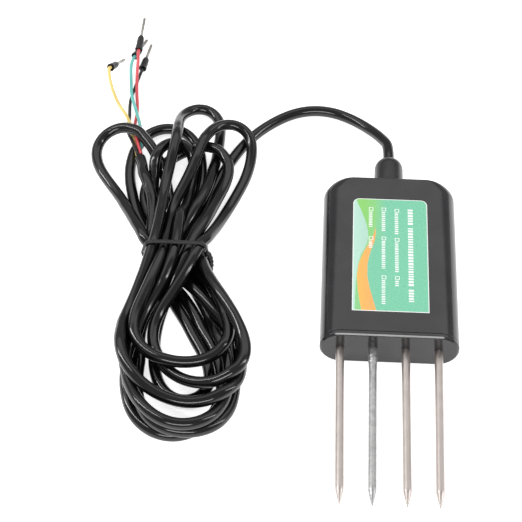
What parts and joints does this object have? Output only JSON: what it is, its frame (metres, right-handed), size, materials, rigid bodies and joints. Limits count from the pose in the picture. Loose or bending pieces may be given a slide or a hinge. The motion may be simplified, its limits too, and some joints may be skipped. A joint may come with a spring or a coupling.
{
  "type": "soil moisture sensor",
  "caption": "Flat black potted soil sensor with a row of long metal probes at one end and a tied hank of cable with ferruled cores at the other.",
  "frame": {"origin": "under the middle of the sensor, halfway between the probe tips and the gland's mouth, on the surface that it lies on", "axes": "+Y from the probes to the cable, +X to the right seen from the label with the cable end up, +Z out of the label"},
  "size_m": [0.1295, 0.2066, 0.0155],
  "materials": {
    "housing_plastic": "moulded black, satin to gloss",
    "cap_plastic": "moulded black, polished flat face",
    "label_vinyl": "printed film, green with an orange sweep and white print",
    "gland_nylon": "moulded black, satin",
    "resin": "cast black resin",
    "probe_steel": "satin ground stainless steel",
    "acidity_alloy": "dull grey, rough as cast",
    "board_laminate": "green solder mask",
    "chip_package": "black moulded package",
    "can_metal": "drawn can",
    "ferrite": "dark ferrite",
    "ceramic": "fired ceramic",
    "solder": "bright tin alloy",
    "cable_sheath": "black PVC, satin",
    "tie_plastic": "black coated wire tie",
    "core_yellow": "yellow insulation",
    "core_red": "red insulation",
    "core_green": "blue-green insulation",
    "core_black": "black insulation",
    "ferrule_plastic": "moulded black collar",
    "tinned_copper": "tinned and crimped"
  },
  "bodies": {
    "root": {"housing_shell": "housing_plastic", "end_cap": "cap_plastic", "label_sticker": "label_vinyl", "cable_gland": "gland_nylon", "potting_resin": "resin", "probe_outer_left": "probe_steel", "probe_acidity": "acidity_alloy", "probe_inner_right": "probe_steel", "probe_outer_right": "probe_steel", "circuit_board": "board_laminate", "microcontroller": "chip_package", "bus_transceiver": "chip_package", "voltage_regulator": "chip_package", "amplifier": "chip_package", "analogue_switch": "chip_package", "crystal": "can_metal", "power_inductor": "ferrite", "bulk_capacitor": "can_metal", "surge_diode": "chip_package", "chip_components": "ceramic", "probe_solder": "solder", "core_solder": "solder", "inner_core_yellow": "core_yellow", "inner_core_red": "core_red", "inner_core_green": "core_green", "inner_core_black": "core_black", "inner_sheath": "cable_sheath", "cable_lead": "cable_sheath", "cable_hank": "cable_sheath", "hank_tie": "tie_plastic", "wire_yellow": "core_yellow", "wire_red": "core_red", "wire_green": "core_green", "wire_black": "core_black", "ferrule_collar_yellow": "ferrule_plastic", "ferrule_collar_red": "ferrule_plastic", "ferrule_collar_green": "ferrule_plastic", "ferrule_collar_black": "ferrule_plastic", "ferrule_pin_yellow": "tinned_copper", "ferrule_pin_red": "tinned_copper", "ferrule_pin_green": "tinned_copper", "ferrule_pin_black": "tinned_copper"}
  },
  "joints": []
}
